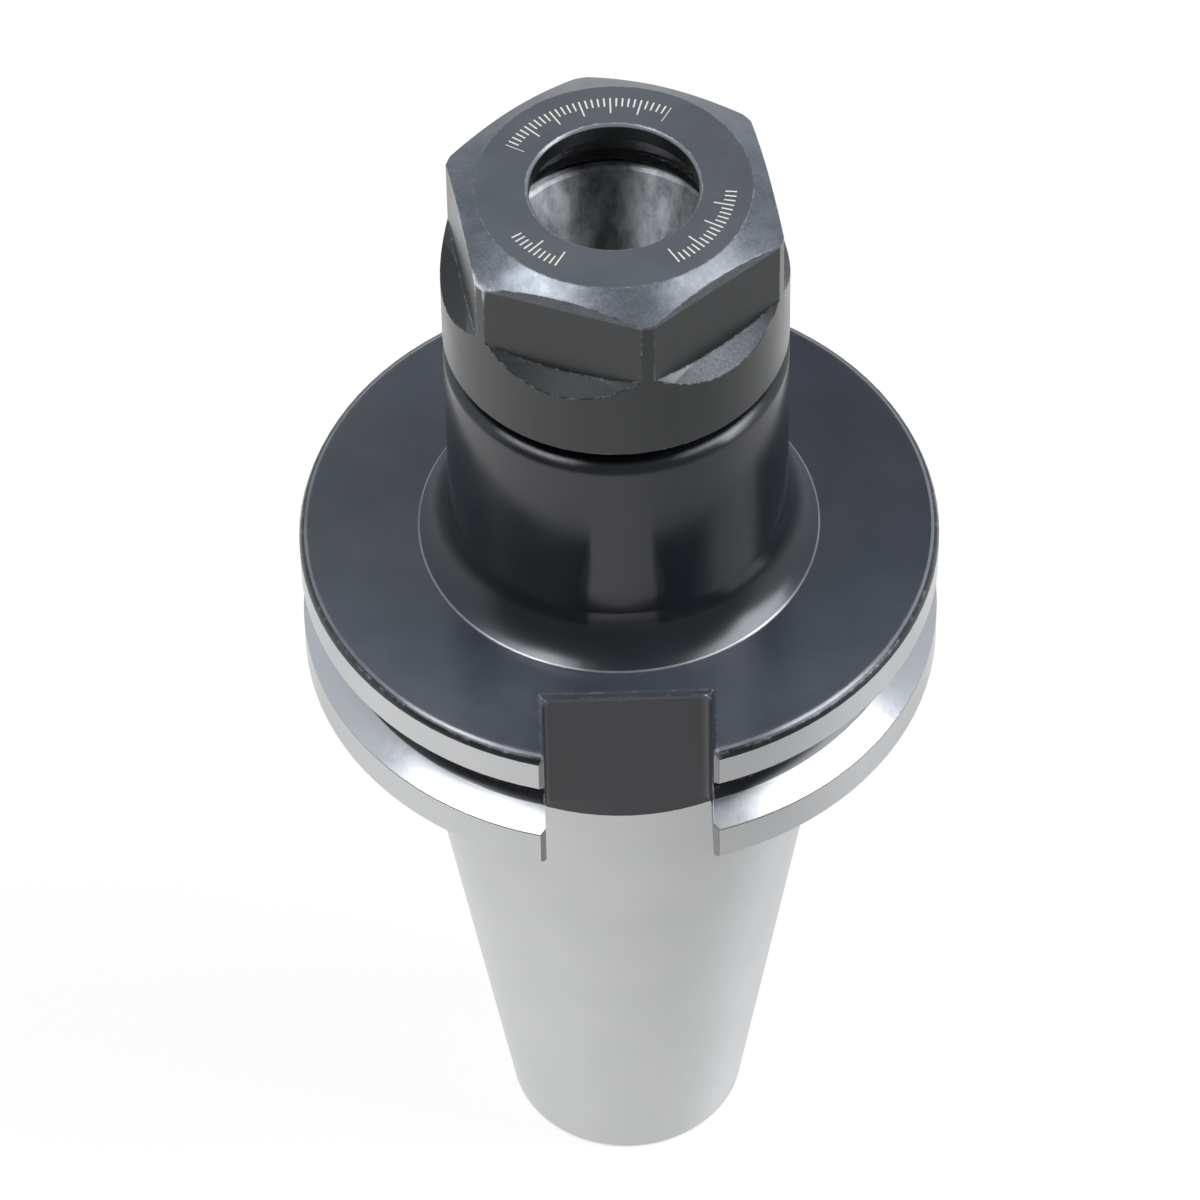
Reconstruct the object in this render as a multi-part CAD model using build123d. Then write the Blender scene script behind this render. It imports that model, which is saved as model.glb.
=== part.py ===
from build123d import *
import math
import os

os.makedirs("parts", exist_ok=True)

# Lengths are in millimetres. The origin is the centre of the taper's gauge circle,
# +Z runs along the axis to the clamping nut, and the shallower key slot faces -Y.

# Steep taper shank
gauge_diameter = 44.45
taper_rate = 7 / 24
taper_length = 68.25
small_end_break = 0.4

# V-flange
flange_diameter = 63.5
flange_gap = 3.175
flange_front = 19.05
flange_front_break = 0.85
flange_rear_break = 0.3
collar_break = 0.4
groove_height = 11.1
groove_depth = 3.57
groove_mouth = 7.08
groove_angle = 60.0

# Key slots through the flange
slot_width = 16.4
slot_depth_near = 9.15
slot_depth_far = 6.75
slot_floor_round = 1.0
slot_rim_break = 0.65
slot_face_break = 0.35

# Neck between the flange and the nose
neck_diameter = 33.5
neck_top = 45.3
neck_top_break = 0.7
neck_root_round = 5.7
root_width = 3.2
root_ring_step = 0.12

# Threaded nose, drawn at the thread's pitch diameter
nose_gap = 1.05
thread_diameter = 25.0
thread_pitch = 1.5
thread_pitch_drop = 0.6495
thread_relief_diameter = 22.4
thread_relief_length = 2.6
nose_break = 0.6

# Collet socket and the bore behind it
socket_mouth_diameter = 21.0
socket_half_angle = 8.0
socket_length = 26.0
socket_mouth_break = 0.3
back_bore_diameter = 13.3
back_bore_length = 20.0
stop_thread_diameter = 12.0
stop_thread_pitch = 1.5
stop_thread_length = 42.0
stop_thread_clearance = 0.06
coolant_diameter = 9.0

# Retention knob thread in the small end, drawn at its major diameter
knob_thread_diameter = 15.875
knob_thread_length = 28.6
knob_pilot_diameter = 16.3
knob_pilot_depth = 4.8
knob_pilot_break = 0.4
drill_point_angle = 118.0

# Clamping nut
nut_diameter = 33.5
nut_length = 19.4
nut_lift = 1.95
nut_flats = 29.6
nut_turned_by = 9.0
nut_face_diameter = 26.4
nut_face_angle = 30.0
nut_rear_break = 0.15
flat_length = 10.5
flat_cutter_radius = 27.0
flat_cutter_angle = 38.0

# Inside of the nut, from its mouth to its thread
mouth_diameter = 16.2
mouth_length = 1.9
mouth_break = 0.25
nut_cone_diameter = 21.1
nut_cone_angle = 30.0
extractor_diameter = 20.0
extractor_offset = 0.75
extractor_turned_by = 120.0
extractor_width = 1.1
nut_relief_diameter = 25.6
nut_relief_length = 1.6
nut_thread_clearance = 0.06
nut_entry_diameter = 25.4

# Hollow stop screw in the bore
stop_screw_length = 16.0
stop_screw_depth = 10.4
stop_screw_break = 0.35
stop_hex_flats = 6.0
stop_hex_depth = 6.5
stop_hole_diameter = 4.0

# Allowance by which a cutting solid runs past the faces that it cuts
overcut = 1.0

# Sizes that follow from the ones above
gauge_radius = gauge_diameter / 2
small_end_radius = gauge_radius - taper_length * taper_rate / 2
flange_radius = flange_diameter / 2
groove_radius = flange_radius - groove_depth
neck_radius = neck_diameter / 2
root_height = math.sqrt(root_width * (2 * neck_root_round - root_width))
thread_radius = thread_diameter / 2 - thread_pitch_drop * thread_pitch / 2
stop_thread_radius = stop_thread_diameter / 2 - thread_pitch_drop * stop_thread_pitch / 2
nut_bottom = neck_top + nut_lift
nut_top = nut_bottom + nut_length
nut_radius = nut_diameter / 2
mouth_radius = mouth_diameter / 2
nut_cone_radius = nut_cone_diameter / 2
nut_cone_length = (nut_cone_radius - mouth_radius) / math.tan(math.radians(nut_cone_angle))
nut_cone_end = nut_top - mouth_length - nut_cone_length
lip_end = nut_cone_end - extractor_width
nose_top = lip_end - nose_gap
socket_mouth_radius = socket_mouth_diameter / 2
socket_end_radius = socket_mouth_radius - socket_length * math.tan(math.radians(socket_half_angle))
socket_end = nose_top - socket_length
back_bore_end = socket_end - back_bore_length
stop_thread_end = back_bore_end - stop_thread_length
stop_screw_top = back_bore_end - stop_screw_depth
knob_thread_end = -taper_length + knob_thread_length


def turned(points):
    """Solid of revolution about the axis from (radius, height) points."""
    outline = Polyline(*points, close=True)
    return revolve(Plane.XZ * make_face(outline), Axis.Z)


def body_blank():
    """Outside of the holder body, turned about the axis."""
    groove_half_mouth = groove_mouth / 2
    groove_half_floor = groove_half_mouth - groove_depth * math.tan(math.radians(groove_angle / 2))
    ring_radius = neck_radius + root_width
    ring_top = flange_front + root_ring_step
    break_inset = flange_front_break * (1 - math.sqrt(0.5))
    nose_thread_start = neck_top + thread_relief_length
    relief_radius = thread_relief_diameter / 2
    with BuildSketch(Plane.XZ) as section:
        with BuildLine():
            shank_and_flange = Polyline(
                (0, -taper_length),
                (small_end_radius - small_end_break, -taper_length),
                (small_end_radius, -taper_length + small_end_break),
                (gauge_radius, 0),
                (gauge_radius, flange_gap - collar_break),
                (gauge_radius + collar_break, flange_gap),
                (flange_radius - flange_rear_break, flange_gap),
                (flange_radius, flange_gap + flange_rear_break),
                (flange_radius, groove_height - groove_half_mouth),
                (groove_radius, groove_height - groove_half_floor),
                (groove_radius, groove_height + groove_half_floor),
                (flange_radius, groove_height + groove_half_mouth),
                (flange_radius, flange_front - flange_front_break),
                (flange_radius - break_inset, flange_front - break_inset),
                (flange_radius - flange_front_break, flange_front),
                (ring_radius, flange_front),
                (ring_radius, ring_top),
            )
            root = TangentArc(
                (neck_radius, ring_top + root_height),
                shank_and_flange @ 1,
                tangent=(0, -1),
            )
            nose = Polyline(
                root @ 0,
                (neck_radius, neck_top - neck_top_break),
                (neck_radius - neck_top_break, neck_top),
                (relief_radius, neck_top),
                (relief_radius, nose_thread_start - (thread_radius - relief_radius)),
                (thread_radius, nose_thread_start),
                (thread_radius, nose_top - nose_break),
                (thread_radius - nose_break, nose_top),
                (0, nose_top),
                (0, -taper_length),
            )
        make_face()
    return revolve(section.sketch, Axis.Z)


def body_bore():
    """Everything turned or tapped out of the body's middle."""
    break_radius = socket_mouth_radius + socket_mouth_break
    knob_radius = knob_thread_diameter / 2
    pilot_radius = knob_pilot_diameter / 2
    coolant_radius = coolant_diameter / 2
    stop_radius = stop_thread_radius + stop_thread_clearance
    drill_rise = (knob_radius - coolant_radius) / math.tan(math.radians(drill_point_angle / 2))
    return turned(
        [
            (0, -taper_length - overcut),
            (pilot_radius + knob_pilot_break + overcut, -taper_length - overcut),
            (pilot_radius, -taper_length + knob_pilot_break),
            (pilot_radius, -taper_length + knob_pilot_depth),
            (knob_radius, -taper_length + knob_pilot_depth),
            (knob_radius, knob_thread_end),
            (coolant_radius, knob_thread_end + drill_rise),
            (coolant_radius, stop_thread_end),
            (stop_radius, stop_thread_end),
            (stop_radius, back_bore_end),
            (back_bore_diameter / 2, back_bore_end),
            (back_bore_diameter / 2, socket_end),
            (socket_end_radius, socket_end),
            (socket_mouth_radius, nose_top - socket_mouth_break),
            (break_radius + overcut, nose_top + overcut),
            (0, nose_top + overcut),
        ]
    )


def slot_outline(depth, margin):
    """Plan of one key slot that opens to -Y, grown by a margin."""
    half = slot_width / 2 + margin
    floor = depth + margin - flange_radius
    rim = -math.sqrt(flange_radius**2 - (slot_width / 2) ** 2) + slot_rim_break - margin
    far = -(flange_radius + overcut)
    flare = half + (rim - far)
    right_side = [(half, floor), (half, rim), (flare, far)]
    left_side = [(-flare, far), (-half, rim), (-half, floor)]
    return make_face(Polyline(*right_side, *left_side, close=True))


def key_slot(depth):
    """Cutter for one key slot, with the break along its edge on the flange's face."""
    plan = slot_outline(depth, 0)
    height = flange_front - flange_gap + 2 * overcut
    channel = extrude(Pos(0, 0, flange_gap - overcut) * plan, height)
    floor_edges = channel.edges().filter_by(Axis.Z).sort_by(Axis.Y)[-2:]
    channel = fillet(floor_edges, slot_floor_round)
    low = Pos(0, 0, flange_front - slot_face_break) * plan
    high = Pos(0, 0, flange_front + overcut) * slot_outline(depth, slot_face_break + overcut)
    return channel + loft([low, high], ruled=True)


def holder_body():
    body = body_blank() - body_bore()
    body -= key_slot(slot_depth_near)
    body -= Rot(0, 0, 180) * key_slot(slot_depth_far)
    return body


def nut_blank():
    """Outside of the nut before its flats are milled."""
    face_radius = nut_face_diameter / 2
    shoulder = nut_top - (nut_radius - face_radius) * math.tan(math.radians(nut_face_angle))
    return turned(
        [
            (0, nut_bottom),
            (nut_radius - nut_rear_break, nut_bottom),
            (nut_radius, nut_bottom + nut_rear_break),
            (nut_radius, shoulder),
            (face_radius, nut_top),
            (0, nut_top),
        ]
    )


def flat_cutter(angle):
    """Cone-sided face mill that leaves one flat and the sloping scallop below it."""
    reach = nut_radius - nut_flats / 2 + overcut
    spread = reach * math.tan(math.radians(flat_cutter_angle))
    centre = nut_top - flat_length + flat_cutter_radius
    outward = Vector(math.sin(math.radians(angle)), -math.cos(math.radians(angle)), 0)
    seat = Plane(origin=outward * (nut_flats / 2) + Vector(0, 0, centre), z_dir=outward)
    mill = Cone(
        flat_cutter_radius,
        flat_cutter_radius + spread,
        reach,
        align=(Align.CENTER, Align.CENTER, Align.MIN),
    )
    return seat * mill


def nut_cavity():
    """Mouth, collet cone, eccentric extractor lip, relief and thread of the nut."""
    relief_end = lip_end - nut_relief_length
    bore_radius = thread_radius + nut_thread_clearance
    entry_radius = nut_entry_diameter / 2
    front = turned(
        [
            (0, nut_cone_end),
            (nut_cone_radius, nut_cone_end),
            (mouth_radius, nut_top - mouth_length),
            (mouth_radius, nut_top - mouth_break),
            (mouth_radius + mouth_break + overcut, nut_top + overcut),
            (0, nut_top + overcut),
        ]
    )
    rear = turned(
        [
            (0, nut_bottom - overcut),
            (entry_radius + overcut, nut_bottom - overcut),
            (bore_radius, nut_bottom + entry_radius - bore_radius),
            (bore_radius, relief_end),
            (nut_relief_diameter / 2, relief_end),
            (nut_relief_diameter / 2, lip_end),
            (0, lip_end),
        ]
    )
    lip_centre = Rot(0, 0, extractor_turned_by) * Pos(extractor_offset, 0, lip_end - overcut)
    lip = lip_centre * Cylinder(
        extractor_diameter / 2,
        extractor_width + 2 * overcut,
        align=(Align.CENTER, Align.CENTER, Align.MIN),
    )
    return front + rear + lip


def clamping_nut():
    nut = nut_blank()
    for flat in range(6):
        nut -= flat_cutter(nut_turned_by + 30 + 60 * flat)
    return nut - nut_cavity()


def stop_screw():
    """Hollow grub screw that sets how deep the tool shank goes."""
    radius = stop_thread_radius
    low = stop_screw_top - stop_screw_length
    blank = turned(
        [
            (0, low),
            (radius - stop_screw_break, low),
            (radius, low + stop_screw_break),
            (radius, stop_screw_top - stop_screw_break),
            (radius - stop_screw_break, stop_screw_top),
            (0, stop_screw_top),
        ]
    )
    hexagon = RegularPolygon(stop_hex_flats / 2, 6, major_radius=False)
    socket = extrude(Pos(0, 0, stop_screw_top - stop_hex_depth) * hexagon, stop_hex_depth + overcut)
    hole = Pos(0, 0, low - overcut) * Cylinder(
        stop_hole_diameter / 2,
        stop_screw_length + 2 * overcut,
        align=(Align.CENTER, Align.CENTER, Align.MIN),
    )
    return blank - socket - hole


pieces = {
    "holder_body": holder_body(),
    "clamping_nut": clamping_nut(),
    "stop_screw": stop_screw(),
}

for name, piece in pieces.items():
    export_step(piece, f"parts/{name}.step")
    print(name, round(piece.volume, 1), "mm3")
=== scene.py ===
import math

import bmesh
import bpy
from mathutils import Matrix, Vector


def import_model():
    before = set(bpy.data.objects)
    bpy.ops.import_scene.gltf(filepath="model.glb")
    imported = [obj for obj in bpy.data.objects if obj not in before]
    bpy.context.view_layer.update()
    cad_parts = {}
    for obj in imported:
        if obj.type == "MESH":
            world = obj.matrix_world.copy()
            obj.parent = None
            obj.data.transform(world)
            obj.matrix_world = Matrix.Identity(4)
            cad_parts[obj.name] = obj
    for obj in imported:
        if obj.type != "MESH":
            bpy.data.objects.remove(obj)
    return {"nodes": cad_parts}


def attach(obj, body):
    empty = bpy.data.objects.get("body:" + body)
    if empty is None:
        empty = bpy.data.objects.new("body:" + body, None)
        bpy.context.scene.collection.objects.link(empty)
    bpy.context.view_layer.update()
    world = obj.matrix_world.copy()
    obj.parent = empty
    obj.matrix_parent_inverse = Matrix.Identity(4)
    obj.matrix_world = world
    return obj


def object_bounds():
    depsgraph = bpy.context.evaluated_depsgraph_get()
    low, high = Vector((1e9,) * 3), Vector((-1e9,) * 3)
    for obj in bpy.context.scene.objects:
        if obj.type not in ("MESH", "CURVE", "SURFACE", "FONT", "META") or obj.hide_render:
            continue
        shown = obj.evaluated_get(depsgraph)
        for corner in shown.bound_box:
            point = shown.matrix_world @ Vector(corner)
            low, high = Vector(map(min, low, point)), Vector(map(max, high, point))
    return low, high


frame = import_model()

cad_low, cad_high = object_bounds()

# Sizes taken over from the CAD part, in millimetres in its own frame
FLANGE_RADIUS = 31.75
FLANGE_GAP = 3.175
FLANGE_FRONT = 19.05
FRONT_BREAK = 0.85
GROOVE_HEIGHT = 11.1
GROOVE_HALF_MOUTH = 3.54
GROOVE_SLOPE = math.tan(math.radians(30))
SLOT_HALF = 8.2
SLOT_RIM_BREAK = 0.65
ROOT_RING_RADIUS = 19.95
NECK_TOP = 45.3
NOSE_TOP = 58.356
SOCKET_END = 32.356
SMALL_END = -68.25
NUT_TOP = 66.65
NUT_RADIUS = 16.75
NUT_FACE_RADIUS = 13.2
NUT_HALF_FLATS = 14.8
MOUTH_RADIUS = 8.1
KNOB_THREAD_RADIUS = 7.9375
KNOB_MINOR_RADIUS = 6.8
KNOB_THREAD_DEPTH = 28.6
KNOB_PILOT_DEPTH = 4.8
KNOB_THREAD_PITCH = 25.4 / 11

MM = 0.001


class Nodes:
    """Node tree of a material or a world, built up by short calls that return sockets."""

    def __init__(self, tree):
        self.tree = tree
        self.tree.nodes.clear()

    def node(self, kind, **settings):
        made = self.tree.nodes.new(kind)
        for key, value in settings.items():
            setattr(made, key, value)
        return made

    def put(self, socket, value):
        if isinstance(value, bpy.types.NodeSocket):
            self.tree.links.new(value, socket)
        elif isinstance(value, (tuple, list)) and len(socket.default_value) == 4 and len(value) == 3:
            socket.default_value = (*value, 1)
        else:
            socket.default_value = value

    def math(self, operation, first, second=0.0, third=0.0):
        made = self.node("ShaderNodeMath", operation=operation)
        for socket, value in zip(made.inputs, (first, second, third)):
            self.put(socket, value)
        return made.outputs[0]

    def vector_math(self, operation, first, second):
        """Distance or dot product of two places or directions."""
        made = self.node("ShaderNodeVectorMath", operation=operation)
        self.put(made.inputs[0], first)
        self.put(made.inputs[1], second)
        return made.outputs["Value"]

    def without(self, mask):
        return self.math("SUBTRACT", 1.0, mask)

    def faded(self, value, low, high, to_low=0.0, to_high=1.0):
        """The value mapped smoothly from one range to another, and held at its ends."""
        made = self.node("ShaderNodeMapRange", interpolation_type="SMOOTHSTEP")
        for socket, number in zip(made.inputs[:5], (value, low, high, to_low, to_high)):
            self.put(socket, number)
        return made.outputs[0]

    def mixed(self, mask, last, other):
        """One shader where the mask is 0, and the other where it is 1."""
        made = self.node("ShaderNodeMixShader")
        for socket, value in zip(made.inputs, (mask, last, other)):
            self.put(socket, value)
        return made.outputs[0]

    def close(self, last, kind="ShaderNodeOutputMaterial"):
        self.put(self.node(kind).inputs["Surface"], last)


class Shader(Nodes):
    """One material of the object, of one or more principled surfaces."""

    def __init__(self, name):
        self.material = bpy.data.materials.new(name)
        self.material.use_nodes = True
        super().__init__(self.material.node_tree)
        scaled = self.node("ShaderNodeVectorMath", operation="SCALE")
        self.put(scaled.inputs[0], self.node("ShaderNodeTexCoord").outputs["Object"])
        scaled.inputs["Scale"].default_value = 1 / MM
        self.place = scaled.outputs[0]
        split = self.node("ShaderNodeSeparateXYZ")
        self.put(split.inputs[0], self.place)
        self.x, self.y, self.z = split.outputs
        self.radius = self.math("SQRT", self.math("ADD", self.square(self.x), self.square(self.y)))

    def square(self, value):
        return self.math("MULTIPLY", value, value)

    def near(self, value, target, reach):
        """1 where the value is within reach of the target."""
        return self.math("COMPARE", value, target, reach)

    def above(self, value, edge, soft=0.01):
        """0 below the edge and 1 above it, with a soft step between."""
        return self.faded(value, edge - soft, edge + soft)

    def below(self, value, edge, soft=0.01):
        return self.without(self.above(value, edge, soft))

    def spot(self, centre, radius):
        """1 in the middle of a round spot, fading out to 0 at its radius."""
        return self.scale(self.vector_math("DISTANCE", self.place, centre), 0.0, radius, 1.0, 0.0)

    def scale(self, value, low, high, to_low, to_high):
        """The value mapped evenly from one range to another, and held at its ends."""
        made = self.node("ShaderNodeMapRange")
        for socket, number in zip(made.inputs[:5], (value, low, high, to_low, to_high)):
            self.put(socket, number)
        return made.outputs[0]

    def both(self, *masks):
        found = masks[0]
        for mask in masks[1:]:
            found = self.math("MULTIPLY", found, mask)
        return found

    def either(self, *masks):
        found = masks[0]
        for mask in masks[1:]:
            found = self.math("MAXIMUM", found, mask)
        return found

    def blend(self, mask, first, second):
        """Number or colour: the first where the mask is 0, the second where it is 1."""
        colour = any(isinstance(v, (tuple, list)) or getattr(v, "type", "") == "RGBA" for v in (first, second))
        made = self.node("ShaderNodeMix", data_type="RGBA" if colour else "FLOAT")
        factor, low, high = (made.inputs[i] for i in ((0, 6, 7) if colour else (0, 2, 3)))
        self.put(factor, mask)
        self.put(low, first)
        self.put(high, second)
        return made.outputs[2 if colour else 0]

    def noise(self, size, detail=3.0, roughness=0.55, stretch=(1, 1, 1)):
        """Noise with features about size millimetres long, stretched along x, y and z."""
        mapping = self.node("ShaderNodeMapping")
        self.put(mapping.inputs["Vector"], self.place)
        mapping.inputs["Scale"].default_value = [1 / (size * s) for s in stretch]
        made = self.node("ShaderNodeTexNoise")
        self.put(made.inputs["Vector"], mapping.outputs[0])
        made.inputs["Scale"].default_value = 1.0
        made.inputs["Detail"].default_value = detail
        made.inputs["Roughness"].default_value = roughness
        return made.outputs["Fac"]

    def patches(self, low, high, *noise):
        """Patches of noise: 0 where it is under the low level, and 1 over the high one."""
        return self.scale(self.noise(*noise), low, high, 0.0, 1.0)

    def turning_lines(self, value, pitch, wander):
        """Fine lines of turning or grinding: noise that depends on one length only."""
        joined = self.node("ShaderNodeCombineXYZ")
        self.put(joined.inputs[0], self.math("DIVIDE", value, pitch))
        self.put(joined.inputs[1], self.math("MULTIPLY", self.noise(25.0, 1.0), wander))
        made = self.node("ShaderNodeTexNoise")
        self.put(made.inputs["Vector"], joined.outputs[0])
        made.inputs["Scale"].default_value = 1.0
        made.inputs["Detail"].default_value = 2.0
        return made.outputs["Fac"]

    def rounded(self, reach):
        """Surface direction with every edge rounded over by reach millimetres."""
        made = self.node("ShaderNodeBevel", samples=6)
        self.put(made.inputs["Radius"], self.math("MULTIPLY", reach, MM))
        return made.outputs[0]

    def edges(self, rounded, soft=0.12):
        """1 along edges, where the rounded direction leaves the true one."""
        true = self.node("ShaderNodeNewGeometry").outputs["Normal"]
        agreement = self.vector_math("DOT_PRODUCT", rounded, true)
        return self.scale(agreement, 1.0 - soft, 1.0 - soft / 8, 1.0, 0.0)

    def bump(self, height, distance, under=None):
        made = self.node("ShaderNodeBump")
        made.inputs["Distance"].default_value = distance * MM
        self.put(made.inputs["Height"], height)
        if under is not None:
            self.put(made.inputs["Normal"], under)
        return made.outputs[0]

    def surface(self, colour, roughness, normal, metallic=1.0, stretch=0.0, gloss=0.5):
        """One principled surface. A turned one has its reflections stretched along the axis."""
        made = self.node("ShaderNodeBsdfPrincipled")
        made.inputs["IOR"].default_value = OXIDE_IOR
        made.inputs["Specular IOR Level"].default_value = gloss
        self.put(made.inputs["Base Color"], colour)
        self.put(made.inputs["Roughness"], roughness)
        self.put(made.inputs["Normal"], normal)
        self.put(made.inputs["Metallic"], metallic)
        if stretch:
            made.inputs["Anisotropic"].default_value = stretch
            made.inputs["Anisotropic Rotation"].default_value = QUARTER_TURN
            around = self.node("ShaderNodeTangent", direction_type="RADIAL", axis="Z")
            self.put(made.inputs["Tangent"], around.outputs[0])
        return made.outputs[0]

    def finish(self, last, *others):
        """Closes the material with one surface, and further ones where their masks are 1."""
        for mask, other in others:
            last = self.mixed(mask, last, other)
        self.close(last)
        return self.material


# Thin black oxide reflects about as plastic does
OXIDE_IOR = 1.5
# Turning and grinding lines run round the axis, so reflections stretch along it
GROUND_STRETCH = 0.9
SOCKET_STRETCH = 0.98
OXIDE_STRETCH = 0.5
QUARTER_TURN = 0.25

# Colours with two values are the darkest and the lightest of a cloudy finish
HOLDER_OXIDE = ((0.007, 0.008, 0.010), (0.010, 0.011, 0.014))
NUT_OXIDE = ((0.011, 0.012, 0.012), (0.016, 0.017, 0.017))
# The nut's face colours: its oxide, painted lighter and bluer than the sides as lit from above
NUT_FACE_OXIDE_PAINTED_LIGHTER = ((0.034, 0.037, 0.042), (0.046, 0.049, 0.056))
SCREW_OXIDE = ((0.012, 0.013, 0.014), (0.020, 0.021, 0.023))
GROUND_STEEL = ((0.585, 0.587, 0.585), (0.61, 0.61, 0.607))
SOCKET_STEEL = ((0.25, 0.252, 0.26), (0.54, 0.545, 0.555))
FLANK_STEEL = (0.50, 0.50, 0.50)
SMUDGED_STEEL = (0.38, 0.38, 0.40)
DULL_STEEL = (0.20, 0.205, 0.21)
BARE_STEEL = (0.80, 0.80, 0.80)
WORN_EDGE = (0.30, 0.31, 0.33)
# Rubbed steel, also laid on as painted light on the nut's right flat cuts
RUBBED_STEEL_AND_PAINTED_LIGHT = (0.17, 0.185, 0.21)
ETCHED = (0.46, 0.44, 0.39)
# Dust on the flange's face, with painted light: lighter than the black sides as lit from above, and each pair
# gives the painted-darker far right and the painted-lighter near left
THIN_DUST_PAINTED_SIDE_LIGHT = ((0.002, 0.004, 0.010), (0.027, 0.031, 0.040))
THICK_DUST_PAINTED_SIDE_LIGHT = ((0.010, 0.012, 0.019), (0.044, 0.048, 0.058))

# Where one finish gives way to the next
SHANK_FROM_RADIUS = 11.95
FLANKS_FROM_RADIUS = 29.18
SOCKET_TO_RADIUS = 11.0
NOSE_FACE_TO_RADIUS = 12.2
NOSE_FACE_DEPTH = 1.2
GAUGE_BAND_RADIUS = 24.0
GAUGE_BAND_HEIGHT = 4.0
FACE_MIDDLE = (ROOT_RING_RADIUS + FLANGE_RADIUS - FRONT_BREAK) / 2
FRONT_END = FLANGE_FRONT - FRONT_BREAK
CUT_MIDDLE = NUT_TOP - 12.3
CUT_HALF = 1.9

NICKED_CORNER = (-13.0, -10.6, 64.7)
NICK_REACH = 3.0
# Dull patches that handling left on the groove's lower flank
SMUDGES = ((-22.7, -20.5, 8.2), (25.7, -16.7, 8.2), (10.6, -28.7, 8.2))
SMUDGE_REACH = 4.0


def rim_lands(s):
    """The two ground cylinders of the flange, in front of the groove and behind it."""
    rear_middle = (FLANGE_GAP + GROOVE_HEIGHT - GROOVE_HALF_MOUTH) / 2
    front_middle = (GROOVE_HEIGHT + GROOVE_HALF_MOUTH + FRONT_END) / 2
    rear_land = s.near(s.z, rear_middle, rear_middle - FLANGE_GAP - 0.15)
    front_land = s.near(s.z, front_middle, FRONT_END - front_middle - 0.02)
    return s.both(s.near(s.radius, FLANGE_RADIUS, 0.06), s.either(rear_land, front_land))


def groove_flanks(s):
    """The groove's two sloping sides, which lie along straight lines of height by radius."""
    slope = s.math("MULTIPLY", s.radius, GROOVE_SLOPE)
    low_line = GROOVE_HEIGHT - GROOVE_HALF_MOUTH + FLANGE_RADIUS * GROOVE_SLOPE
    high_line = GROOVE_HEIGHT + GROOVE_HALF_MOUTH - FLANGE_RADIUS * GROOVE_SLOPE
    low_flank = s.near(s.math("ADD", s.z, slope), low_line, 0.06)
    high_flank = s.near(s.math("SUBTRACT", s.z, slope), high_line, 0.06)
    return s.both(s.either(low_flank, high_flank), s.above(s.radius, FLANKS_FROM_RADIUS, 0.08))


def socket_wall(s):
    """The collet socket and the nose's end face round it."""
    wall = s.both(s.above(s.z, SOCKET_END), s.below(s.radius, SOCKET_TO_RADIUS))
    nose_face = s.both(s.above(s.z, NOSE_TOP - NOSE_FACE_DEPTH), s.below(s.radius, NOSE_FACE_TO_RADIUS))
    return s.either(wall, nose_face)


def slot_breaks(s):
    """The broken corners where the key slots meet the flange's rim."""
    across, along = s.math("ABSOLUTE", s.x), s.math("ABSOLUTE", s.y)
    rim_reach = math.sqrt(FLANGE_RADIUS**2 - SLOT_HALF**2) - SLOT_RIM_BREAK - SLOT_HALF
    half = SLOT_RIM_BREAK / 2
    on_plane = s.near(s.math("SUBTRACT", along, across), rim_reach, 0.05)
    return s.both(on_plane, s.near(across, SLOT_HALF + half, half + 0.05))


def holder_edges(s, ground, clouds):
    """The holder's rounded surface direction, and where its black is worn off."""
    on_flange = s.above(s.z, FRONT_END - 0.02)
    front_edge = s.both(on_flange, s.above(s.radius, FLANGE_RADIUS - FRONT_BREAK - 0.4))
    shoulder = s.above(s.z, NECK_TOP - 1.6)
    ring_edge = s.both(s.near(s.radius, ROOT_RING_RADIUS, 0.9), s.near(s.z, FLANGE_FRONT, 0.6))
    gauge_band = s.both(s.below(s.z, GAUGE_BAND_HEIGHT), s.below(s.radius, GAUGE_BAND_RADIUS))
    reach = s.blend(front_edge, 0.3, 0.8)
    reach = s.blend(shoulder, reach, 0.9)
    reach = s.blend(s.either(ring_edge, ground), reach, 0.10)
    rounded = s.rounded(s.blend(gauge_band, reach, 0.02))

    worn = s.both(s.edges(rounded), s.patches(0.52, 0.68, 1.3, 3.0, 0.7))
    worn = s.both(worn, s.without(s.either(ring_edge, shoulder, gauge_band)))
    ring_line = s.both(s.near(s.radius, ROOT_RING_RADIUS - 0.06, 0.13), s.near(s.z, FLANGE_FRONT + 0.2, 0.19))
    edge_line = s.both(s.near(s.radius, FLANGE_RADIUS - 0.66, 0.15), s.above(s.z, FLANGE_FRONT - 0.3))
    lines = s.both(s.either(ring_line, edge_line), s.scale(clouds, 0.0, 1.0, 0.3, 0.6))
    return rounded, s.either(worn, lines)


def holder_black(s, face, clouds, mottles):
    """Black oxide, with dust and painted light on the flange's face."""
    # Painted light: the face runs from darker at the far right to lighter at the near left
    painted_light_side = s.scale(s.math("ADD", s.x, s.y), -37.0, 37.0, 1.0, 0.0)
    dust_and_painted_light = s.blend(mottles, s.blend(painted_light_side, *THIN_DUST_PAINTED_SIDE_LIGHT), s.blend(painted_light_side, *THICK_DUST_PAINTED_SIDE_LIGHT))
    return s.blend(face, s.blend(clouds, *HOLDER_OXIDE), dust_and_painted_light)


def holder_ground(s, flanks, socket, clouds):
    """Ground steel, smudged on the groove's flanks and mottled in the socket."""
    steel = s.blend(flanks, s.blend(clouds, *GROUND_STEEL), FLANK_STEEL)
    smudges = s.either(*(s.spot(place, SMUDGE_REACH) for place in SMUDGES))
    grime = s.scale(s.noise(0.9, 4.0, 0.7), 0.40, 0.60, 0.2, 1.0)
    steel = s.blend(s.both(smudges, grime, flanks), steel, SMUDGED_STEEL)
    streaks = s.patches(0.38, 0.62, 1.8, 4.0, 0.65, (1, 1, 2.5))
    return s.blend(socket, steel, s.blend(streaks, *SOCKET_STEEL))


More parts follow.
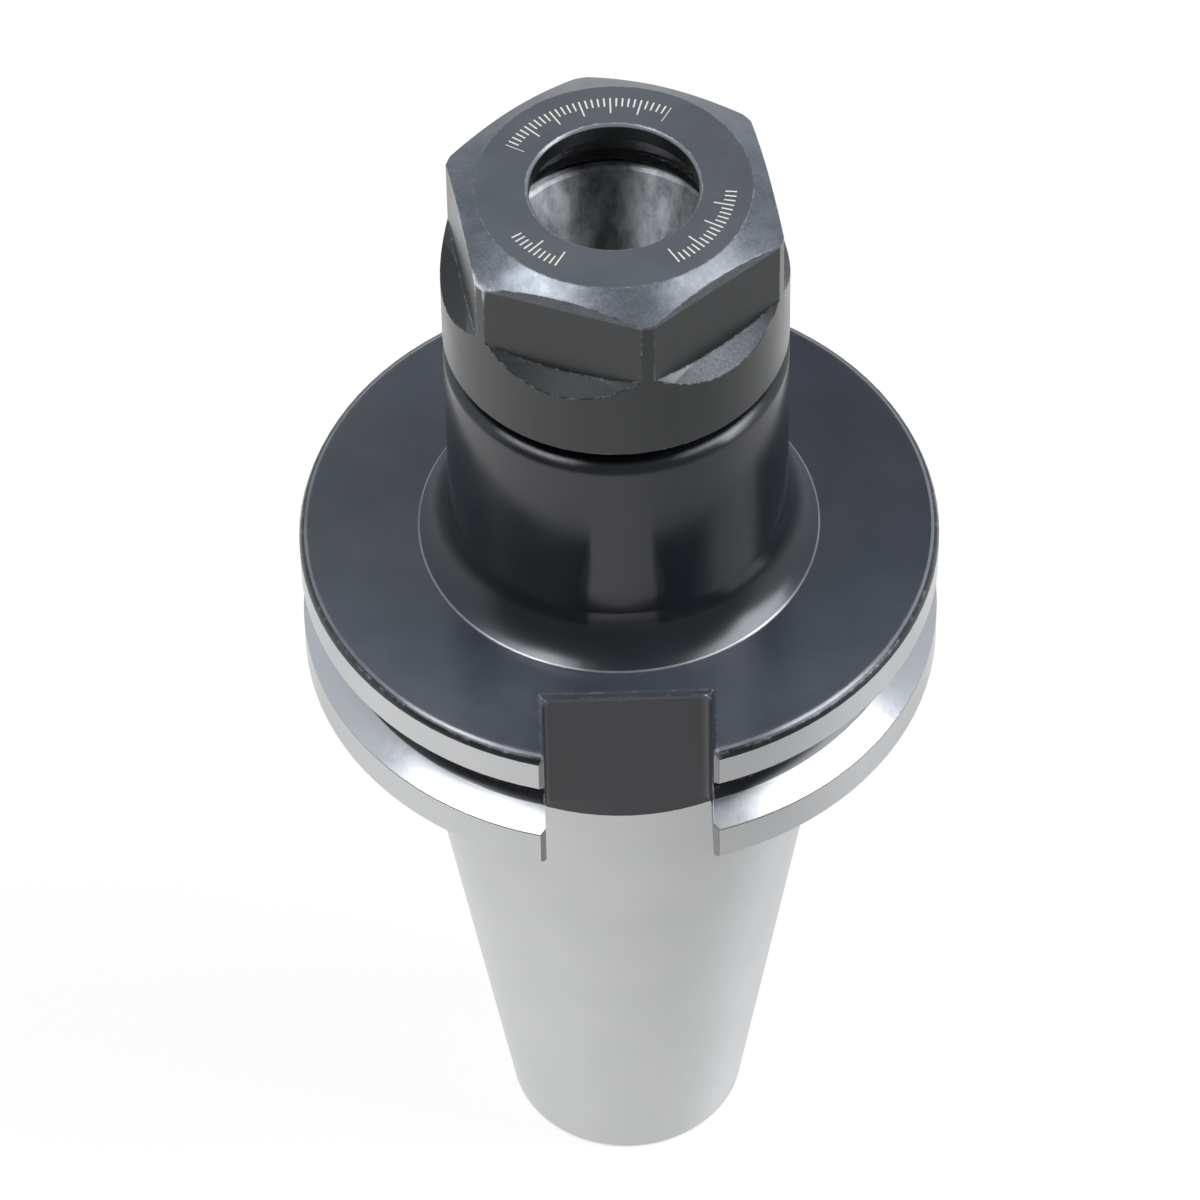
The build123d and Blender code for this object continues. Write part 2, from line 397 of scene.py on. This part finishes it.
def holder_steel():
    """Black oxide body with a ground shank, rim, groove flanks and socket."""
    s = Shader("holder_steel_finish")
    shank = s.both(s.above(s.math("MULTIPLY", s.z, -1.0), 0.0, 0.02), s.above(s.radius, SHANK_FROM_RADIUS))
    flanks = groove_flanks(s)
    socket = socket_wall(s)
    breaks = slot_breaks(s)
    ground = s.both(s.either(shank, rim_lands(s), flanks, socket), s.without(breaks))
    face_reach = FACE_MIDDLE - ROOT_RING_RADIUS + 0.05
    face = s.both(s.above(s.z, FRONT_END - 0.02), s.near(s.radius, FACE_MIDDLE, face_reach))
    root = s.both(s.near(s.z, FLANGE_FRONT + 1.6, 1.6), s.near(s.radius, ROOT_RING_RADIUS - 1.5, 1.5))

    clouds = s.patches(0.35, 0.65, 9.0, 4.0)
    mottles = s.patches(0.36, 0.64, 16.0, 5.0, 0.62)
    fine_lines = s.turning_lines(s.math("ADD", s.z, s.radius), 0.05, 1.0)
    rounded, worn = holder_edges(s, ground, clouds)

    black = holder_black(s, face, clouds, mottles)
    black = s.blend(s.both(worn, s.without(ground)), black, WORN_EDGE)
    colour = s.blend(ground, black, holder_ground(s, flanks, socket, clouds))
    colour = s.blend(breaks, colour, DULL_STEEL)
    bare = s.either(ground, breaks, s.math("MULTIPLY", worn, 0.8))

    black_rough = s.blend(root, s.scale(clouds, 0.0, 1.0, 0.14, 0.19), 0.24)
    steel_rough = s.blend(flanks, s.scale(fine_lines, 0.3, 0.7, 0.29, 0.35), 0.37)
    face_rough = s.scale(mottles, 0.0, 1.0, 0.19, 0.25)
    socket_rough = 0.46
    lined = s.bump(s.both(fine_lines, ground), 0.00025, rounded)
    grainy = s.bump(s.math("ADD", s.noise(0.4, 4.0, 0.7), mottles), 0.003, rounded)
    return s.finish(
        s.surface(colour, black_rough, rounded, bare, OXIDE_STRETCH),
        (ground, s.surface(colour, steel_rough, lined, 1.0, GROUND_STRETCH)),
        (socket, s.surface(colour, socket_rough, rounded, 1.0, SOCKET_STRETCH)),
        (face, s.surface(colour, face_rough, grainy, bare)),
    )


# Index ticks, in degrees round the nut's face and in millimetres from the axis
TICK_GAP = 3.0
LONG_TICK_GAP = 15.0
TICK_HALF_WIDTH = 0.42
TICK_BAND = (11.1, 0.55)
LONG_TICK_BAND = (10.65, 1.0)
TICK_ARCS = ((57.0, 28.0), (-43.5, 16.0))
BACK_ARC_TURNED_BY = -15.0
BACK_ARC_HALF = 45.0


def index_ticks(s):
    """Generic ticks in three arcs. The one at the back lies across the turn from 180 to -180."""
    angle = s.math("MULTIPLY", s.math("ARCTAN2", s.x, s.math("MULTIPLY", s.y, -1.0)), 180 / math.pi)
    ticks = s.near(s.math("PINGPONG", angle, TICK_GAP / 2), 0.0, TICK_HALF_WIDTH)
    long_ticks = s.near(s.math("PINGPONG", angle, LONG_TICK_GAP / 2), 0.0, TICK_HALF_WIDTH)
    short = s.both(ticks, s.near(s.radius, *TICK_BAND))
    long = s.both(long_ticks, s.near(s.radius, *LONG_TICK_BAND))
    from_back = s.math("ABSOLUTE", s.math("ADD", angle, BACK_ARC_TURNED_BY))
    arcs = [s.near(from_back, 180.0, BACK_ARC_HALF)]
    arcs += [s.near(angle, *arc) for arc in TICK_ARCS]
    return s.both(s.either(short, long), s.either(*arcs))


def nut_wear(s, edge):
    """Where the nut's edges are worn, and the nicked corner by itself."""
    worn = s.both(edge, s.patches(0.50, 0.62, 0.9, 4.0, 0.75))
    nick = s.both(edge, s.above(s.spot(NICKED_CORNER, NICK_REACH), 0.35, 0.3))
    mouth_rim = s.both(s.near(s.radius, MOUTH_RADIUS + 0.12, 0.14), s.above(s.z, NUT_TOP - 0.3))
    return s.either(worn, nick, s.math("MULTIPLY", mouth_rim, 0.5)), nick


def nut_steel():
    """Satin black oxide nut, with generic index ticks etched in its face."""
    s = Shader("nut_steel_finish")
    on_cone = s.both(s.above(s.radius, NUT_FACE_RADIUS, 0.05), s.above(s.z, NUT_TOP - 2.25, 0.05))
    on_face = s.both(s.above(s.z, NUT_TOP - 0.01, 0.005), s.above(s.radius, MOUTH_RADIUS))
    inside_rim = s.both(s.below(s.radius, NUT_RADIUS - 0.03), s.above(s.radius, NUT_HALF_FLATS))
    low_cut = s.both(s.near(s.z, CUT_MIDDLE, CUT_HALF), inside_rim)

    clouds = s.patches(0.35, 0.65, 7.0, 4.0)
    mottles = s.patches(0.38, 0.62, 2.6, 4.0, 0.65)
    grain = s.noise(0.28, 5.0, 0.75)
    rounded = s.rounded(s.blend(s.spot(NICKED_CORNER, NICK_REACH), 0.25, 0.9))
    worn, nick = nut_wear(s, s.edges(rounded, 0.04))
    marks = s.both(index_ticks(s), on_face)
    cone_grain = s.math("ADD", grain, s.math("MULTIPLY", mottles, 0.3))
    cone_wear = s.both(on_cone, s.scale(cone_grain, 0.45, 0.85, 0.25, 0.6))
    # Painted light: the rubbing on the flat cuts grows from x -4 to x 9, so the right cuts look lit and the
    # left ones shaded
    cut_wear_and_painted_light = s.both(s.scale(grain, 0.35, 0.65, 0.3, 1.0), s.scale(s.x, -4.0, 9.0, 0.06, 0.33))
    rubbed_and_painted_light = s.either(cone_wear, s.both(low_cut, cut_wear_and_painted_light))

    # Painted light: the nut's face is lighter than its sides
    colour = s.blend(on_face, s.blend(clouds, *NUT_OXIDE), s.blend(clouds, *NUT_FACE_OXIDE_PAINTED_LIGHTER))
    # Rubbed steel, which is also painted light on the right flat cuts
    colour = s.blend(rubbed_and_painted_light, colour, RUBBED_STEEL_AND_PAINTED_LIGHT)
    colour = s.blend(worn, colour, s.blend(nick, WORN_EDGE, BARE_STEEL))
    colour = s.blend(marks, colour, ETCHED)
    metallic = s.either(rubbed_and_painted_light, s.math("MULTIPLY", worn, 0.7))

    face_rough, marks_rough, cut_rough = 0.40, 0.6, 0.34
    cut_gloss = 0.2
    roughness = s.blend(on_face, s.scale(clouds, 0.0, 1.0, 0.24, 0.30), face_rough)
    roughness = s.blend(on_cone, roughness, s.scale(grain, 0.35, 0.7, 0.24, 0.32))
    roughness = s.blend(marks, roughness, marks_rough)
    normal = s.bump(grain, 0.003, rounded)
    matt = s.surface(colour, cut_rough, normal, metallic, gloss=cut_gloss)
    return s.finish(s.surface(colour, roughness, normal, metallic), (low_cut, matt))


def screw_steel():
    """Dull black oxide of the stop screw."""
    s = Shader("screw_steel_finish")
    clouds = s.noise(3.0, 3.0)
    colour = s.blend(s.scale(clouds, 0.35, 0.65, 0.0, 1.0), *SCREW_OXIDE)
    roughness = s.scale(clouds, 0.3, 0.7, 0.35, 0.48)
    return s.finish(s.surface(colour, roughness, s.bump(s.noise(0.4, 4.0, 0.65), 0.004), 0.0))


# Steps of the thread's ridges in one turn, and how far they are sunk in the bore's wall
THREAD_STEPS = 56
THREAD_SINK = 0.02
# Halves of a ridge at the wall and at its crest, as shares of the pitch
THREAD_ROOT_SHARE = 0.42
THREAD_CREST_SHARE = 0.10
THREAD_FADE_TURNS = 0.25


def thread_rings(shape):
    """Outlines of the ridge, step by step up the helix. Its ends fade into the wall."""
    low = SMALL_END + KNOB_PILOT_DEPTH
    half_root = THREAD_ROOT_SHARE * KNOB_THREAD_PITCH
    half_crest = THREAD_CREST_SHARE * KNOB_THREAD_PITCH
    depth = KNOB_THREAD_RADIUS - KNOB_MINOR_RADIUS
    turns = (KNOB_THREAD_DEPTH - KNOB_PILOT_DEPTH - 2 * half_root) / KNOB_THREAD_PITCH
    count = int(turns * THREAD_STEPS)
    fade_steps = THREAD_FADE_TURNS * THREAD_STEPS
    rings = []
    for i in range(count + 1):
        angle = 2 * math.pi * i / THREAD_STEPS
        middle = low + half_root + KNOB_THREAD_PITCH * i / THREAD_STEPS
        crest = KNOB_THREAD_RADIUS - depth * min(1.0, i / fade_steps, (count - i) / fade_steps)
        root = KNOB_THREAD_RADIUS + THREAD_SINK
        profile = ((root, -half_root), (crest, -half_crest), (crest, half_crest), (root, half_root))
        places = ((r * math.cos(angle), r * math.sin(angle), middle + up) for r, up in profile)
        rings.append([shape.verts.new([v * MM for v in place]) for place in places])
    return rings


def knob_thread():
    """Ridges of the thread for the retention knob, inside the hole in the small end."""
    shape = bmesh.new()
    rings = thread_rings(shape)
    sides = len(rings[0])
    for first, second in zip(rings, rings[1:]):
        for k in range(sides):
            after = (k + 1) % sides
            shape.faces.new((first[k], second[k], second[after], first[after]))
    shape.faces.new(rings[0])
    shape.faces.new(reversed(rings[-1]))
    bmesh.ops.recalc_face_normals(shape, faces=shape.faces)
    mesh = bpy.data.meshes.new("knob_thread_ridges")
    shape.to_mesh(mesh)
    shape.free()
    piece = bpy.data.objects.new("knob_thread_ridges", mesh)
    bpy.context.scene.collection.objects.link(piece)
    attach(piece, "holder")
    return piece


def dress(node, material):
    """Gives a CAD node its material without touching its mesh."""
    for place in frame["nodes"][node].material_slots:
        place.link = "OBJECT"
        place.material = material


def direction(azimuth, elevation):
    a, e = math.radians(azimuth), math.radians(elevation)
    return Vector((math.sin(a) * math.cos(e), -math.cos(a) * math.cos(e), math.sin(e)))


# The floor and the room, in metres
FLOOR_HALF = 2.0
FLOOR_COLOUR = (0.9, 0.9, 0.9)
# How much of the floor is plain white to the camera and to mirrors, so that the rest can take a shadow
FLOOR_SHARE = 0.88
# The mirrored floor is dimmer toward the photographer: from one y to another, and the strength there
DIM_SIDE = (-0.20, -0.12, 0.2)
# Where else it is dimmer: the centre, the two distances and the strength there
DIM_PLACES = (
    ((0.150, -0.090), 0.030, 0.210, 0.46),
    ((0.095, 0.034), 0.010, 0.050, 0.80),
    ((-0.085, 0.045), 0.010, 0.050, 0.80),
)
# The floor under the small end's hole gets no light, out to this distance from the axis
HOLE_EDGE = (0.0115, 0.0125)
# Colours and strengths of the room: as a light, mirrored in the object, and behind it
ROOM_LIGHT = ((0.93, 0.96, 1.0), 0.45)
ROOM_MIRRORED = ((0.90, 0.96, 1.05), 1.0)
ROOM_SEEN = ((1, 1, 1), 1.0)
# The mirrored room fades toward the photographer: from one cosine to another, and the two strengths
ROOM_FADE = (0.10, 0.45, 1.0, 0.2)


def mirrored_floor(n, place, low):
    """How bright the floor is in mirrors, by the place on it."""
    split = n.node("ShaderNodeSeparateXYZ")
    n.put(split.inputs[0], place)
    strength = n.faded(split.outputs[1], *DIM_SIDE)
    for centre, near, far, dimmed in DIM_PLACES:
        gap = n.vector_math("DISTANCE", place, (*centre, low))
        strength = n.math("MULTIPLY", strength, n.faded(gap, near, far, dimmed))
    return strength


def floor_finish(low):
    """Pale matt floor, which the camera and mirrors see as nearly white."""
    material = bpy.data.materials.new("pale_floor")
    material.use_nodes = True
    n = Nodes(material.node_tree)
    lit = n.node("ShaderNodeBsdfDiffuse")
    n.put(lit.inputs["Color"], FLOOR_COLOUR)
    place = n.node("ShaderNodeTexCoord").outputs["Object"]
    path = n.node("ShaderNodeLightPath")
    mirrored = path.outputs["Is Glossy Ray"]
    seen = n.math("MAXIMUM", path.outputs["Is Camera Ray"], mirrored)
    seen = n.math("MAXIMUM", seen, path.outputs["Is Transmission Ray"])
    from_axis = n.vector_math("DISTANCE", place, (0, 0, low))
    seen = n.math("MULTIPLY", seen, n.faded(from_axis, *HOLE_EDGE))
    lost = n.math("MULTIPLY", mirrored, n.without(mirrored_floor(n, place, low)))
    white = n.node("ShaderNodeEmission")
    n.put(white.inputs["Strength"], n.without(lost))
    share = n.math("MULTIPLY", seen, FLOOR_SHARE)
    n.close(n.mixed(share, lit.outputs[0], white.outputs[0]))
    return material


def floor():
    half, low = FLOOR_HALF, cad_low.z
    mesh = bpy.data.meshes.new("floor")
    corners = [(-half, -half, low), (half, -half, low), (half, half, low), (-half, half, low)]
    mesh.from_pydata(corners, [], [(0, 1, 2, 3)])
    mesh.materials.append(floor_finish(low))
    plane = bpy.data.objects.new("floor", mesh)
    bpy.context.scene.collection.objects.link(plane)


def background(n, colour, strength):
    made = n.node("ShaderNodeBackground")
    n.put(made.inputs["Color"], colour)
    n.put(made.inputs["Strength"], strength)
    return made


def world():
    """Even pale room. Its reflection is white, and dark on the photographer's side."""
    made = bpy.data.worlds.new("studio")
    bpy.context.scene.world = made
    made.use_nodes = True
    n = Nodes(made.node_tree)
    lit = background(n, *ROOM_LIGHT)
    mirrored = background(n, *ROOM_MIRRORED)
    white = background(n, *ROOM_SEEN)
    around = n.node("ShaderNodeTexCoord").outputs["Generated"]
    toward = n.vector_math("DOT_PRODUCT", around, direction(0, 0))
    n.put(mirrored.inputs["Strength"], n.faded(toward, *ROOM_FADE))
    path = n.node("ShaderNodeLightPath")
    last = n.mixed(path.outputs["Is Glossy Ray"], lit.outputs[0], mirrored.outputs[0])
    last = n.mixed(path.outputs["Is Camera Ray"], last, white.outputs[0])
    n.close(last, "ShaderNodeOutputWorld")


LAMP_TINT = (0.95, 0.98, 1.03)
LAMP_DISTANCE = 0.9
LAMP_TARGET = Vector((0, 0, 0.02))


def softbox(name, azimuth, elevation, width, height, brightness):
    """Rectangular lamp that faces the object."""
    out = direction(azimuth, elevation)
    lamp = bpy.data.lights.new(name, "AREA")
    lamp.shape = "RECTANGLE"
    lamp.size, lamp.size_y = width, height
    lamp.energy = brightness * math.pi * width * height
    lamp.color = LAMP_TINT
    holder = bpy.data.objects.new(name, lamp)
    holder.location = LAMP_TARGET + out * LAMP_DISTANCE
    holder.rotation_mode = "QUATERNION"
    holder.rotation_quaternion = out.to_track_quat("Z", "Y")
    holder.visible_camera = False
    bpy.context.scene.collection.objects.link(holder)


# Camera, fitted to the outlines of the flange, shank and nut in the photograph
CAMERA_AZIMUTH = -0.9
CAMERA_ELEVATION = 49.101
CAMERA_ROLL = -1.068
CAMERA_DISTANCE = 744.0 * MM
CAMERA_TARGET = Vector((-2.027, 0.032, 7.078)) * MM
FOCAL_LENGTH_IN_FRAMES = 7413.1 / 1200
CLIP_START = 0.01
CLIP_END = 20


def camera():
    a, roll = math.radians(CAMERA_AZIMUTH), math.radians(CAMERA_ROLL)
    back = direction(CAMERA_AZIMUTH, CAMERA_ELEVATION)
    right = Vector((math.cos(a), math.sin(a), 0))
    up = back.cross(right)
    turned_right = right * math.cos(roll) + up * math.sin(roll)
    turned_up = up * math.cos(roll) - right * math.sin(roll)
    lens = bpy.data.cameras.new("camera")
    lens.sensor_fit = "HORIZONTAL"
    lens.lens = FOCAL_LENGTH_IN_FRAMES * lens.sensor_width
    lens.clip_start, lens.clip_end = CLIP_START, CLIP_END
    eye = bpy.data.objects.new("camera", lens)
    turn = Matrix((turned_right, turned_up, back)).transposed().to_4x4()
    eye.matrix_world = Matrix.Translation(CAMERA_TARGET + back * CAMERA_DISTANCE) @ turn
    bpy.context.scene.collection.objects.link(eye)
    bpy.context.scene.camera = eye


holder_finish = holder_steel()
dress("holder_body", holder_finish)
knob_thread().data.materials.append(holder_finish)
dress("clamping_nut", nut_steel())
dress("stop_screw", screw_steel())

floor()
world()
softbox("left_softbox", -71, 63, 0.50, 0.26, 13.5)
softbox("right_softbox", 82, 48, 0.44, 0.66, 9.5)
camera()
bpy.context.scene.view_settings.view_transform = "Standard"
